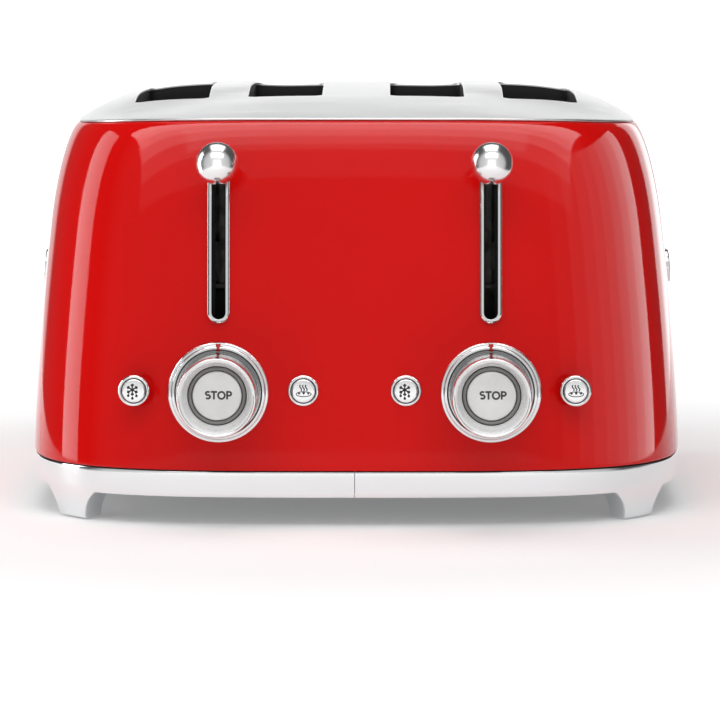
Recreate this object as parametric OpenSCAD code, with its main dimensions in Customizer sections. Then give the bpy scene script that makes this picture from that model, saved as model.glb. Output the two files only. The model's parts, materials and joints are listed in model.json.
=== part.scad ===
// Four-slot pop-up toaster. Each of its two levers serves two wells.
// +X right, +Y to the back, +Z up. The origin is on the table, under the middle of the box.

/* [Body] */
// Width across the front, at the foot of the shell
body_w = 328; // [322:1:334]
// Depth at the foot of the shell, without the dials
body_d = 366; // [362:1:370]
// Depth over the dials
total_d = 395; // [393:1:397]
// Height of the top panel's crown
top_z = 210.4; // [209.6:0.2:211]
// Height of the seam between the shell and the top panel
seam_z = 195.4; // [194:0.2:196.4]
// Exponent of the rounded-square plan
squareness = 3.7; // [3.4:0.1:4]
// Thickness of the shell's wall
wall = 1.4; // [1.2:0.1:2]

/* [Wells] */
// Distance of the two inner wells from the middle
inner_well_x = 35.5; // [34.5:0.5:36.5]
// Distance of the two outer wells from the middle
outer_well_x = 92; // [91:0.5:93]
// Width of a slot
slot_w = 37; // [36:0.5:38]
// Length of a slot
slot_len = 145; // [140:1:147]
// Place of the slots' middle, front to back
slot_y = -3; // [-5:0.5:-1]

/* [Controls] */
// Distance of each lever and dial from the middle
lever_x = 65.5; // [64.5:0.5:66.5]
// How far the levers travel down
lever_travel = 70; // [66:1:70]
// Height of the lever balls when up
ball_z = 176; // [174:1:176]
// Radius of the lever balls
ball_r = 10.2; // [9.5:0.1:10.4]
// Height of the dials' axes
dial_z = 65.4; // [64.4:0.2:66.4]
// Radius of the dials
dial_r = 19.7; // [19:0.1:20]
// Distance of the small buttons from the dials' axes
button_x = 40.8; // [40:0.2:42]
// Radius of the small buttons
button_r = 5.8; // [5.4:0.1:6]

/* [Hidden] */
$fn = 48;

RED = "#cc1614";
CHROME = "#dfe2e4";
STEEL = "#c9cbc8";
ZINC = "#9ea3a6";
BLACK = "#202022";
MICA = "#b9a98a";
BOARD = "#2f6b3c";

gap = 0.1;          // between a fixed piece and its hole
fit = 0.07;         // radial play of a running fit
big = 500;          // longer than anything, for cuts
eps = 0.5;          // overshoot of a cut
plan_n = 72;        // points round the plan
trim_top = 27;
trim_bottom = 14.4;
shell_z0 = 27.4;
lean = 15.2;        // how far the wall leans in, from foot to seam
lean_power = 1.5;   // how the lean grows with height
shoulder_in = 8.6;  // how much further the rounded shoulder goes in
shoulder_at = 0.685; // share of the wall's height where the shoulder starts
seam_droop = 3.5;   // how much lower the seam is at the corners
body_y = (total_d - body_d) / 2;
panel_t = 1.2;
panel_w = body_w / 2 - lean - shoulder_in + 0.8;
panel_d = body_d / 2 - lean - shoulder_in + 0.8;
shell_steps = [0, 0.1, 0.25, 0.4, 0.55, 0.68, 0.78, 0.86, 0.92, 0.96, 0.985, 1];
dome_steps = [0.3, 0.5, 0.65, 0.77, 0.86, 0.93, 0.975, 1];
well_xs = [-outer_well_x, -inner_well_x, inner_well_x, outer_well_x];
sides = [-1, 1];
dial_front = total_d / 2;
button_z = dial_z + 0.8;

// Rounded-square plan, at an inset from the foot of the shell
function spow(v, e) = sign(v) * pow(abs(v), e);
function plan_of(a, b, t) = [
    a * spow(cos(t), 2 / squareness),
    body_y + b * spow(sin(t), 2 / squareness)
];
function plan(inset, t) = plan_of(body_w / 2 - inset, body_d / 2 - inset, t);
function plan_ring(inset) = [for (k = [0 : plan_n - 1]) plan(inset, 360 * k / plan_n)];

// How far the wall is inset at a height, and where its front is
function rise(z) = max(0, z - shell_z0) / (seam_z - shell_z0);
function shoulder(s) = max(0, (s - shoulder_at) / (1 - shoulder_at));
function wall_inset(z) = lean * pow(rise(z), lean_power)
    + shoulder_in * (1 - sqrt(max(0, 1 - pow(shoulder(rise(z)), 2))));
function front_y(z) = body_y - body_d / 2 + wall_inset(z);
function back_y(z) = body_y + body_d / 2 - wall_inset(z);
function droop(z, t) = seam_droop * pow(min(1, rise(z)), 3) * pow(cos(t), 2);

// Height of the top panel at a share r of the way out, in direction t
function edge_z(t) = seam_z + panel_t + 0.1 - seam_droop * pow(cos(t), 2);
function dome_z(r, t) = edge_z(t)
    + (top_z - edge_z(t)) * (1 - pow(r, 1.85 + 4.15 * pow(cos(t), 6)));

// Two triangles of a quad between neighbouring rings
function quad(a, b, c, d) = [[a, b, c], [a, c, d]];

// Carries a closed outline of [inset, z] points round the plan
module band(outline) {
    m = len(outline);
    points = [
        for (k = [0 : plan_n - 1]) for (p = outline)
            let (t = 360 * k / plan_n) concat(plan(p[0], t), [p[1] - droop(p[1], t)])
    ];
    faces = [
        for (k = [0 : plan_n - 1]) for (j = [0 : m - 1])
            let (k2 = (k + 1) % plan_n, j2 = (j + 1) % m)
                each quad(k * m + j, k * m + j2, k2 * m + j2, k2 * m + j)
    ];
    polyhedron(points, faces);
}

// Closed dome: its upper skin drop below the panel's top, its lower skin at the panel's
// underside, or flat at floor_z
module dome(drop, floor_z = 0) {
    rings = len(dome_steps);
    function skin(r, t, z) = concat(plan_of(panel_w * r, panel_d * r, t), [z]);
    function under(r, t) = floor_z > 0 ? floor_z : dome_z(r, t) - panel_t;
    upper = [
        for (r = dome_steps) for (k = [0 : plan_n - 1])
            let (t = 360 * k / plan_n) skin(r, t, dome_z(r, t) - drop)
    ];
    lower = [
        for (r = dome_steps) for (k = [0 : plan_n - 1])
            let (t = 360 * k / plan_n) skin(r, t, under(r, t))
    ];
    n = rings * plan_n;
    crown = [[0, body_y, top_z - drop], [0, body_y, floor_z > 0 ? floor_z : top_z - panel_t]];
    faces = [
        for (k = [0 : plan_n - 1]) let (k2 = (k + 1) % plan_n, e = n - plan_n) each concat(
            [[2 * n, k2, k], [2 * n + 1, n + k, n + k2]],
            [for (i = [0 : rings - 2]) let (a = i * plan_n, b = a + plan_n) each concat(
                quad(a + k, a + k2, b + k2, b + k),
                quad(n + a + k2, n + a + k, n + b + k, n + b + k2)
            )],
            quad(e + k, e + k2, n + e + k2, n + e + k)
        )
    ];
    polyhedron(concat(upper, lower, crown), faces);
}

// Outline of [y, z] points, centred on x and w wide
module plate_yz(x, w, outline) {
    translate([x - w / 2, 0, 0])
        rotate([90, 0, 90])
            linear_extrude(w)
                polygon(outline);
}

// Turned piece on an axis along Y. Its outline is [radius, -y]
module turned(x, z, outline) {
    translate([x, 0, z])
        rotate([90, 0, 0])
            rotate_extrude($fn = 96)
                polygon(outline);
}

// Round bar along Y, from y0 back to y1
module rod_y(x, z, r, y0, y1) {
    translate([x, y1, z])
        rotate([90, 0, 0])
            cylinder(r = r, h = y1 - y0);
}

// Upright slot with round ends, w wide, from y0 back to y1
module stadium_y(x, w, z0, z1, y0, y1) {
    translate([x, y1, 0]) rotate([90, 0, 0]) linear_extrude(y1 - y0) {
        translate([-w / 2, z0 + w / 2]) square([w, z1 - z0 - w]);
        translate([0, z0 + w / 2]) circle(d = w);
        translate([0, z1 - w / 2]) circle(d = w);
    }
}

module box(x0, x1, y0, y1, z0, z1) {
    translate([x0, y0, z0]) cube([x1 - x0, y1 - y0, z1 - z0]);
}

// Flat plate with the plan's outline
module plan_plate(inset, z0, z1) {
    translate([0, 0, z0]) linear_extrude(z1 - z0) polygon(plan_ring(inset));
}

// Rounded rectangle of a slot, grown by a margin
module slot_outline(x, margin) {
    corner = 5 + margin;
    half_w = slot_w / 2 + margin - corner;
    half_len = slot_len / 2 + margin - corner;
    translate([x, slot_y]) {
        square([2 * (half_w + corner), 2 * half_len], center = true);
        square([2 * half_w, 2 * (half_len + corner)], center = true);
        for (i = sides) for (j = sides) translate([i * half_w, j * half_len]) circle(corner);
    }
}

/* Shell and trim */

bezel_w = 10.9;
bezel_in_w = 6.5;
bezel_z0 = 98.4;
bezel_z1 = 183;
surround_r = 24.4;
bezel_r = 7.6;
badge_z = 116;
badge_pin_y = 16;
gland_z = 40;
gland_r = 9;

module body_shell() color(RED) {
    heights = [for (s = shell_steps) shell_z0 + s * (seam_z - shell_z0)];
    last = len(heights) - 1;
    outer = [for (z = heights) [wall_inset(z), z]];
    inner = [for (i = [0 : last]) [wall_inset(heights[last - i]) + wall, heights[last - i]]];
    difference() {
        band(concat(outer, inner));
        for (s = sides) {
            stadium_y(s * lever_x, bezel_w + 2 * gap, bezel_z0 - gap, bezel_z1 + gap, -big, 0);
            rod_y(s * lever_x, dial_z, surround_r + gap, -big, 0);
            for (b = sides)
                rod_y(s * lever_x + b * button_x, button_z, bezel_r + gap, -big, 0);
            for (p = sides)
                translate([s * 120, body_y + p * badge_pin_y, badge_z])
                    rotate([0, s * 90, 0])
                        cylinder(r = 1.6, h = 100);
        }
        rod_y(0, gland_z, gland_r + gap, 100, big);
    }
}

module top_panel() color(STEEL) {
    collar = 1;      // thickness of the folded rim round a slot
    collar_z = 188;
    difference() {
        union() {
            dome(0);
            intersection() {
                dome(0.3, collar_z);
                translate([0, 0, collar_z - eps])
                    linear_extrude(big)
                        for (x = well_xs) slot_outline(x, collar);
            }
        }
        translate([0, 0, collar_z - 2 * eps])
            linear_extrude(big)
                for (x = well_xs) slot_outline(x, 0);
    }
}

ledge_z = trim_bottom + 2;
tray_x0 = 14;
tray_x1 = 118;
tray_z0 = ledge_z + 1.9;
tray_z1 = tray_z0 + 7.1;
tray_play = 0.4;
screw_inset = 5.7;
head_r = 2.3;
head_h = 1.2;
screw_angles = [14, 68, 112, 166, 194, 248, 292, 346];

// Cast foot: its outer face follows the plan, and its ends taper in to the ground
module foot(at) {
    levels = [[0.8, 6.5, 5], [4.3, 6.9, 4.5], [8.2, 7.7, 3.7], [11.3, 9, 2.9], [13.4, 10.8, 2.2],
        [ledge_z - gap, 13, 1.7]];
    thick = 15;
    arc_n = 7;
    m = 2 * arc_n;
    n = len(levels);
    points = [
        for (l = levels) each concat(
            [for (i = [0 : arc_n - 1])
                concat(plan(l[2], at + l[1] * (2 * i / (arc_n - 1) - 1)), [l[0]])],
            [for (i = [0 : arc_n - 1])
                concat(plan(l[2] + thick, at - l[1] * (2 * i / (arc_n - 1) - 1)), [l[0]])]
        )
    ];
    faces = concat(
        [for (i = [0 : n - 2]) for (j = [0 : m - 1]) let (j2 = (j + 1) % m)
            each quad(i * m + j, (i + 1) * m + j, (i + 1) * m + j2, i * m + j2)],
        [for (j = [0 : arc_n - 2]) each quad(j, j + 1, m - 2 - j, m - 1 - j)],
        [for (j = [0 : arc_n - 2])
            each quad((n - 1) * m + m - 1 - j, (n - 1) * m + m - 2 - j,
                (n - 1) * m + j + 1, (n - 1) * m + j)]
    );
    polyhedron(points, faces);
}

foot_at = 40;
function foot_angles(s) = s > 0 ? [foot_at, 360 - foot_at] : [180 - foot_at, 180 + foot_at];
function pad_place(t) = plan(12.5, t);
pad_r = 6;
pad_h = 2.4;

module base_trim(s) color(CHROME) {
    outline = [
        [1.3, trim_bottom], [0.6, trim_bottom + 0.7], [0.3, trim_bottom + 1.8],
        [0.3, trim_top], [1.7, trim_top], [1.7, trim_top + 3.4],
        [3.4, trim_top + 3.4], [3.4, ledge_z], [8.6, ledge_z], [8.6, trim_bottom]
    ];
    seam = 0.15;     // half the gap between the two trims
    difference() {
        union() {
            band(outline);
            for (t = foot_angles(s)) foot(t);
        }
        box(s > 0 ? -big : -seam, s > 0 ? seam : big, -big, big, -big, big);
        box(min(s * tray_x0, s * tray_x1) - tray_play, max(s * tray_x0, s * tray_x1) + tray_play,
            100, big, tray_z0 - tray_play, tray_z1 + tray_play);
        for (t = foot_angles(s))
            translate(concat(pad_place(t), [-eps])) cylinder(r = pad_r + gap, h = pad_h + eps);
        for (t = screw_angles)
            translate(concat(plan(screw_inset, t), [0])) {
                cylinder(r = 1.6, h = 20);
                cylinder(r = head_r + 0.2, h = trim_bottom + head_h);
            }
    }
}

module base_plate() color(ZINC) difference() {
    plan_plate(3.8, ledge_z + 0.05, ledge_z + 1.25);
    for (t = screw_angles)
        translate(concat(plan(screw_inset, t), [0])) cylinder(r = 1.6, h = 20);
}

module foot_pads() color(BLACK)
    for (s = sides) for (t = foot_angles(s))
        translate(concat(pad_place(t), [0])) cylinder(r = pad_r, h = pad_h - gap);

module base_screws() color(ZINC) for (t = screw_angles)
    translate(concat(plan(screw_inset, t), [0])) {
        translate([0, 0, trim_bottom]) cylinder(r = head_r, h = head_h);
        translate([0, 0, trim_bottom + head_h - gap]) cylinder(r = 1.5, h = 2.6);
    }

module crumb_tray(s) {
    x0 = min(s * tray_x0, s * tray_x1);
    x1 = max(s * tray_x0, s * tray_x1);
    y0 = -76;
    sheet = 0.8;
    module area(margin) intersection() {
        translate([x0 + margin, y0 + margin]) square([x1 - x0 - 2 * margin, big]);
        polygon(plan_ring(3.2 + margin));
    }
    color(STEEL) {
        translate([0, 0, tray_z0]) linear_extrude(sheet) area(0);
        translate([0, 0, tray_z0]) linear_extrude(tray_z1 - tray_z0) difference() {
            area(0);
            area(sheet);
        }
    }
    color(CHROME) intersection() {
        band([[0.6, tray_z0], [0.35, tray_z0 + 2.6], [0.35, tray_z1], [3.3, tray_z1], [3.3, tray_z0]]);
        box(x0, x1, 100, big, 0, 100);
    }
}

/* Levers and carriages */

arm_y = -166.5;      // front end of the lever arm
ball_y = -177;
rail_y = -101;       // axes of the guide rods
rail_x = 24;
rail_r = 2.5;
shelf_z0 = 28.2;     // top of the lower shelf, and underside of the upper one
shelf_z1 = 186;
lift_z = 124;
plate_y = -96.8;     // back of the carriage's cross plate
chassis_y = -80;
guard_y = -144;      // front of the dust guards behind the lever slots

// Strip that follows the front wall, proud of it and deep behind it
module face_strip(x, w, proud, deep, z0, z1) {
    steps = 10;
    zs = [for (i = [0 : steps]) z0 + (z1 - z0) * i / steps];
    plate_yz(x, w, concat(
        [for (z = zs) [front_y(z) - proud, z]],
        [for (i = [0 : steps]) [front_y(zs[steps - i]) + deep, zs[steps - i]]]
    ));
}

module lever_bezel(s) color(CHROME) difference() {
    intersection() {
        face_strip(s * lever_x, bezel_w, 1.4, 3, bezel_z0, bezel_z1);
        stadium_y(s * lever_x, bezel_w, bezel_z0, bezel_z1, -big, 0);
    }
    stadium_y(s * lever_x, bezel_in_w, bezel_z0 + 2.4, bezel_z1 - 2.4, -big, 0);
}

module slot_guard(s) color(BLACK) difference() {
    box(s * lever_x - 10, s * lever_x + 10, guard_y, guard_y + 1.2, 93, 185.8);
    box(s * lever_x - 2.3, s * lever_x + 2.3, guard_y - 1, guard_y + 2, 100, 183);
}

module lever_knob(s) color(CHROME) {
    translate([s * lever_x, ball_y, ball_z]) sphere(ball_r, $fn = 64);
    rod_y(s * lever_x, ball_z, 3.4, ball_y, arm_y);
}

module carriage(s) color(ZINC) {
    arm_z = ball_z + 3;
    difference() {
        union() {
            box(s * lever_x - 34, s * lever_x + 34, plate_y - 1.2, plate_y, lift_z - 12, lift_z + 10);
            for (b = sides)
                translate([s * lever_x + b * rail_x, rail_y, lift_z - 12])
                    cylinder(r = 4.3, h = 22);
            box(s * lever_x - 8, s * lever_x + 8, -112, plate_y, lift_z - 12, lift_z - 10);
            plate_yz(s * lever_x, 3, [
                [plate_y, lift_z - 12], [plate_y, lift_z + 26], [-106, arm_z], [arm_y, arm_z],
                [arm_y, arm_z - 6], [-114, arm_z - 6], [-108, lift_z + 26], [-108, lift_z - 12]
            ]);
            box(s * lever_x + 9, s * lever_x + 15, rail_y - 3, plate_y, lift_z + 8, lift_z + 10);
        }
        for (b = sides)
            translate([s * lever_x + b * rail_x, rail_y, 0]) cylinder(r = rail_r + fit, h = 300);
    }
}

// Coil: a round wire swept up a helix
module carriage_spring(s) color(STEEL) {
    turns = 11;
    per_turn = 10;
    wire_n = 6;
    coil_r = 2.6;
    wire_r = 0.5;
    z0 = lift_z + 10 + wire_r;
    z1 = shelf_z1 - wire_r;
    n = turns * per_turn;
    points = [
        for (i = [0 : n]) for (j = [0 : wire_n - 1])
            let (a = 360 * i / per_turn, b = 360 * j / wire_n, r = coil_r + wire_r * cos(b))
                [r * cos(a), r * sin(a), z0 + (z1 - z0) * i / n + wire_r * sin(b)]
    ];
    faces = concat(
        [for (i = [0 : n - 1]) for (j = [0 : wire_n - 1]) let (j2 = (j + 1) % wire_n)
            each quad(i * wire_n + j, i * wire_n + j2, (i + 1) * wire_n + j2, (i + 1) * wire_n + j)],
        [for (j = [1 : wire_n - 2]) [0, j + 1, j]],
        [for (j = [1 : wire_n - 2]) [n * wire_n, n * wire_n + j, n * wire_n + j + 1]]
    );
    translate([s * lever_x + 12, rail_y, 0]) polyhedron(points, faces);
}

module guide_rods() color(STEEL) for (s = sides) for (b = sides)
    translate([s * lever_x + b * rail_x, rail_y, shelf_z0])
        cylinder(r = rail_r, h = shelf_z1 - shelf_z0);

module latch_magnet(s) color(ZINC) {
    top = lift_z - 12 - lever_travel - 0.4;
    box(s * lever_x - 8, s * lever_x + 8, -112, -100, shelf_z0, shelf_z0 + 3);
    for (b = sides) box(s * lever_x + b * 6 - 2, s * lever_x + b * 6 + 2, -112, -100, shelf_z0, top);
    translate([s * lever_x, -106, shelf_z0]) cylinder(r = 5, h = 9);
}

module bread_lifter(x) color(STEEL) {
    box(x - 5, x + 5, -68, 62, lift_z, lift_z + 1.2);
    box(x - 1.5, x + 1.5, plate_y, 40, lift_z - 6, lift_z + eps);
    for (y = [-60 : 20 : 60]) box(x - 5, x + 5, y, y + 1.5, lift_z, lift_z + 3);
}

// Wire grid that centres the slice: two rails joined by upright wires
module wire_guide(x) {
    r = 1.1;
    zs = [44, 196];
    for (z = zs) rod_y(x, z, r, -70, 64);
    for (y = [-66 : 32 : 62]) translate([x, y, zs[0]]) cylinder(r = r, h = zs[1] - zs[0], $fn = 24);
}

module guides(side, inward) color(CHROME)
    for (w = [inner_well_x, outer_well_x]) wire_guide(side * w - inward * 15.5);

/* Chassis, heaters and electrics */

chassis_z0 = ledge_z + 1.25;
chassis_z1 = 187.2;
chassis_x = 126;
chassis_back = 72;
sheet_t = 1.2;

module chassis_front() color(ZINC) difference() {
    union() {
        box(-chassis_x, chassis_x, chassis_y, chassis_y + sheet_t, chassis_z0, chassis_z1);
        for (s = sides) {
            box(s * lever_x - 34, s * lever_x + 34, -114, chassis_y + eps, shelf_z0 - sheet_t, shelf_z0);
            box(s * lever_x - 34, s * lever_x + 34, -114, chassis_y + eps, shelf_z1, shelf_z1 + sheet_t);
        }
    }
    for (x = well_xs) box(x - 4, x + 4, -90, -70, lift_z - lever_travel - 12, lift_z + 8);
}

module chassis_rear() color(ZINC) difference() {
    box(-chassis_x, chassis_x, chassis_back, chassis_back + sheet_t, chassis_z0, chassis_z1);
    for (s = sides)
        box(min(s * tray_x0, s * tray_x1) - 1, max(s * tray_x0, s * tray_x1) + 1,
            chassis_back - eps, chassis_back + 2, 0, tray_z1 + 1);
}

module chassis_side(s) color(ZINC)
    box(s > 0 ? chassis_x - sheet_t : -chassis_x, s > 0 ? chassis_x : sheet_t - chassis_x,
        chassis_y + sheet_t, chassis_back, chassis_z0, chassis_z1);

module heater_board(x) color(MICA)
    box(x - 0.4, x + 0.4, -74, 68, 36, 186);

module control_board(s) {
    x = s * lever_x;
    front = board_y;
    color(BOARD) difference() {
        box(x - 46, x + 46, front, front + 1.6, 44, 86);
        rod_y(x, dial_z, 3, front - 2, front + 8);
    }
    color(BLACK) {
        rod_y(x, dial_z, 4, front - switch_h, front + 4);
        for (b = sides) rod_y(x + b * button_x, button_z, 2.6, front - switch_h, front + 1);
        box(x - 34, x - 16, front + 1.5, front + 16, 50, 62);
        box(x + 14, x + 26, front + 1.5, front + 12, 48, 60);
    }
}

/* Dials and buttons */

board_y = -146;      // front of the control boards
switch_h = 0.9;      // height of the switches on them
dial_face = -front_y(dial_z);
button_face = -front_y(button_z);
hub_r = 13.8;
stop_r = 12;
stop_front = dial_front - 12; // the dish of the dial is this deep

module dial_surround(s) color(CHROME) turned(s * lever_x, dial_z, [
    [16, dial_face - 5], [surround_r, dial_face - 5], [surround_r, dial_face + 1.6],
    [23.9, dial_face + 2.4], [22.7, dial_face + 2.6], [22.4, dial_face + 3.6],
    [21.2, dial_face + 4], [20.8, dial_face + 3.3], [16, dial_face + 3.3]
]);

module browning_dial(s) color(CHROME) turned(s * lever_x, dial_z, [
    [hub_r + fit, dial_face - 8], [15.6, dial_face - 8], [15.6, dial_face + 3.7],
    [dial_r, dial_face + 3.7], [dial_r, dial_face + 7], [dial_r - 0.6, dial_front - 1.4],
    [dial_r - 1, dial_front - 0.4], [dial_r - 1.6, dial_front], [dial_r - 2.2, dial_front - 0.4],
    [dial_r - 2.8, dial_front - 1.6], [15.6, dial_front - 8], [hub_r + fit, stop_front - 0.2]
]);

module stop_housing(s) color(BLACK) {
    turned(s * lever_x, dial_z, [
        [stop_r + 0.25, 154], [17, 154], [17, 155.5], [hub_r, 155.5], [hub_r, stop_front],
        [hub_r - 0.4, stop_front + 0.4], [stop_r + 0.6, stop_front + 0.4],
        [stop_r + 0.25, stop_front]
    ]);
    for (b = sides) rod_y(s * lever_x + b * 14.6, dial_z, 2, -154.5, board_y);
}

module stop_button(s) color(ZINC) turned(s * lever_x, dial_z, [
    [0, 2.6 - board_y], [3, 2.6 - board_y], [3, 174], [stop_r, 174], [stop_r, stop_front - 0.8],
    [stop_r - 0.6, stop_front - 0.2], [0, stop_front - 0.6]
]);

module small_button(x) color(CHROME) turned(x, button_z, [
    [0, 2.2 - board_y], [2, 2.2 - board_y], [2, button_face - 3], [button_r, button_face - 3],
    [button_r, button_face + 1], [button_r - 0.6, button_face + 1.5], [0, button_face + 1.8]
]);

module button_bezels() color(CHROME) for (s = sides) for (b = sides)
    turned(s * lever_x + b * button_x, button_z, [
        [button_r + 0.2, button_face - 5], [bezel_r, button_face - 5],
        [bezel_r, button_face + 0.8], [bezel_r - 0.5, button_face + 1.4],
        [button_r + 0.7, button_face + 1.4], [button_r + 0.2, button_face + 0.9]
    ]);

/* Badges and mains entry */

module side_badge(s) color(CHROME)
    translate([s * (body_w / 2 - wall_inset(badge_z)), body_y, badge_z])
        rotate([0, s * (90 - 4.5), 0]) {
            translate([0, 0, 0.12]) linear_extrude(2.8) {
                square([17, 30], center = true);
                for (p = sides) translate([0, p * 15]) circle(d = 17);
            }
            for (p = sides)
                translate([0, p * badge_pin_y, -4]) cylinder(r = 1.4, h = 5);
        }

module cord_gland() color(BLACK) difference() {
    union() {
        rod_y(0, gland_z, gland_r, back_y(gland_z) - 4, back_y(gland_z) + 0.3);
        rod_y(0, gland_z, 6.5, back_y(gland_z) - 12, back_y(gland_z));
    }
    rod_y(0, gland_z, 3.6, back_y(gland_z) - 13, back_y(gland_z) + 1);
}

module terminal_block() color(BLACK) difference() {
    box(-11, 11, 140, 156, chassis_z0, chassis_z0 + 14);
    for (i = [-1 : 1]) translate([i * 6.5, 148, chassis_z0 + 8]) cylinder(r = 2, h = 10);
}

body_shell();
top_panel();
base_trim(-1);  // base_trim_left
base_trim(1);  // base_trim_right
base_plate();
foot_pads();
crumb_tray(-1);  // crumb_tray_left
crumb_tray(1);  // crumb_tray_right
lever_bezel(-1);  // lever_bezel_left
lever_bezel(1);  // lever_bezel_right
slot_guard(-1);  // slot_guard_left
slot_guard(1);  // slot_guard_right
lever_knob(-1);  // lever_knob_left
lever_knob(1);  // lever_knob_right
carriage(-1);  // carriage_left
carriage(1);  // carriage_right
carriage_spring(-1);  // carriage_spring_left
carriage_spring(1);  // carriage_spring_right
latch_magnet(-1);  // latch_magnet_left
latch_magnet(1);  // latch_magnet_right
guide_rods();
bread_lifter(well_xs[0]);  // bread_lifter_1
bread_lifter(well_xs[1]);  // bread_lifter_2
bread_lifter(well_xs[2]);  // bread_lifter_3
bread_lifter(well_xs[3]);  // bread_lifter_4
guides(-1, 1);  // guides_left_inward_right
guides(-1, -1);  // guides_left_inward_left
guides(1, 1);  // guides_right_inward_right
guides(1, -1);  // guides_right_inward_left
heater_board(-outer_well_x - 25);  // heater_board_1
heater_board(-lever_x + 1);  // heater_board_2
heater_board(-inner_well_x + 25);  // heater_board_3
heater_board(inner_well_x - 25);  // heater_board_4
heater_board(lever_x - 1);  // heater_board_5
heater_board(outer_well_x + 25);  // heater_board_6
chassis_front();
chassis_rear();
chassis_side(-1);  // chassis_side_left
chassis_side(1);  // chassis_side_right
control_board(-1);  // control_board_left
control_board(1);  // control_board_right
dial_surround(-1);  // dial_surround_left
dial_surround(1);  // dial_surround_right
browning_dial(-1);  // browning_dial_left
browning_dial(1);  // browning_dial_right
stop_housing(-1);  // stop_housing_left
stop_housing(1);  // stop_housing_right
stop_button(-1);  // stop_button_left
stop_button(1);  // stop_button_right
small_button(-lever_x - button_x);  // defrost_button_left
small_button(lever_x - button_x);  // defrost_button_right
small_button(-lever_x + button_x);  // reheat_button_left
small_button(lever_x + button_x);  // reheat_button_right
button_bezels();
side_badge(-1);  // side_badge_left
side_badge(1);  // side_badge_right
cord_gland();
terminal_block();
base_screws();
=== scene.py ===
import json
import math

import bmesh
import bpy
import numpy as np
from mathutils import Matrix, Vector


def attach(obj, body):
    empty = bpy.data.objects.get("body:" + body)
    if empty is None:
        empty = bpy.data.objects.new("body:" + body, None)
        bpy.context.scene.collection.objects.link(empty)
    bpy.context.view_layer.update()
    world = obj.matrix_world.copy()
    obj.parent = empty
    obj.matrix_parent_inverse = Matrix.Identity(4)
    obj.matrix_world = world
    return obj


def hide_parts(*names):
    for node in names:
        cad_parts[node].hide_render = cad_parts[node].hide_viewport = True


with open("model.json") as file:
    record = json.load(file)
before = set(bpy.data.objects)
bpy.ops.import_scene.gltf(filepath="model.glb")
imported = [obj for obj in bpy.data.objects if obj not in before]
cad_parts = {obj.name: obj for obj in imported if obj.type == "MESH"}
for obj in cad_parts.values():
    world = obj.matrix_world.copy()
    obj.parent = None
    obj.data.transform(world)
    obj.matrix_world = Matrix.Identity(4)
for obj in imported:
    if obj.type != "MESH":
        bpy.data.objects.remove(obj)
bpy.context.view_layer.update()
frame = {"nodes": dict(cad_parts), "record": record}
nodes = frame["nodes"]
MM = 0.001

# ---------------------------------------------------------------- shape of the casing, in millimetres
HALF_W, HALF_D, MID_Y, SQUARE = 164.0, 183.0, 14.5, 3.7
SHELL_Z0, SEAM_Z, TOP_Z = 27.4, 195.4, 210.4
LEAN, LEAN_POWER, SHOULDER_IN, SHOULDER_AT, DROOP = 15.2, 1.5, 8.6, 0.685, 3.5
PANEL_T, PANEL_A, PANEL_B = 1.2, 141.0, 160.0
WELLS = (-92.0, -35.5, 35.5, 92.0)
SLOT_W, SLOT_LEN, SLOT_R, SLOT_MID_Y = 37.0, 145.0, 5.0, -3.0
LEVER_X, BALL_R, BALL_Y, BALL_Z, ARM_Y = 65.5, 10.2, -177.0, 176.0, -166.5
DIAL_Z, DIAL_FRONT, STOP_FRONT = 65.4, 197.5, 185.5
BUTTON_X, BUTTON_Z = 40.8, 66.2
BADGE_Z = 116.0
# openings: low end, high end and half width of the upright ones, then the radii of the round ones
LEVER_HOLE, LEVER_BEZEL = (99.3, 182.1, 4.6), (98.4, 183.0, 5.45)
DIAL_HOLE_R, BUTTON_HOLE_R, CORD_HOLE_R, CORD_HOLE_Z = 20.5, 6.5, 7.5, 40
TRAY_NEAR, TRAY_FAR, TRAY_LOW, TRAY_HIGH = 13.6, 118.4, 17.9, 25.8
# feet: where they are round the plan in degrees, and the lower edge of the skirt between them
FEET_AT, SKIRT_LOW = (40, 140, 220, 320), 14.4
SIDES = (("left", -1), ("right", 1))


def rise(z):
    return np.maximum(0.0, z - SHELL_Z0) / (SEAM_Z - SHELL_Z0)


def wall_inset(z):
    r = rise(z)
    over = np.clip((r - SHOULDER_AT) / (1 - SHOULDER_AT), 0, 1)
    return LEAN * r ** LEAN_POWER + SHOULDER_IN * (1 - np.sqrt(1 - over ** 2))


def front_y(z):
    return MID_Y - HALF_D + wall_inset(np.asarray(z, float))


def spow(v, e):
    return np.sign(v) * np.abs(v) ** e


def plan(a, b, t):
    """Point of the superellipse with half axes a and b at parameter t."""
    return a * spow(np.cos(t), 2 / SQUARE), MID_Y + b * spow(np.sin(t), 2 / SQUARE)


def even_params(count, a, b):
    """Parameters of count points evenly spaced round the plan, made from one quarter so that all four match."""
    t = np.linspace(0, math.pi / 2, 40001)
    x, y = plan(a, b, t)
    run = np.concatenate([[0], np.cumsum(np.hypot(np.diff(x), np.diff(y)))])
    quarter = np.interp(np.linspace(0, run[-1], count // 4 + 1), run, t)
    half = np.concatenate([quarter, math.pi - quarter[-2::-1]])
    return np.concatenate([half, 2 * math.pi - half[-2:0:-1]])


# ---------------------------------------------------------------- mesh helpers
def ring_faces(rows, cols, wrap_rows=False, wrap_cols=True):
    i = np.arange(rows if wrap_rows else rows - 1)
    j = np.arange(cols if wrap_cols else cols - 1)
    i, j = [v.ravel() for v in np.meshgrid(i, j, indexing="ij")]
    i2, j2 = (i + 1) % rows, (j + 1) % cols
    return np.stack([i * cols + j, i * cols + j2, i2 * cols + j2, i2 * cols + j], 1)


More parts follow.
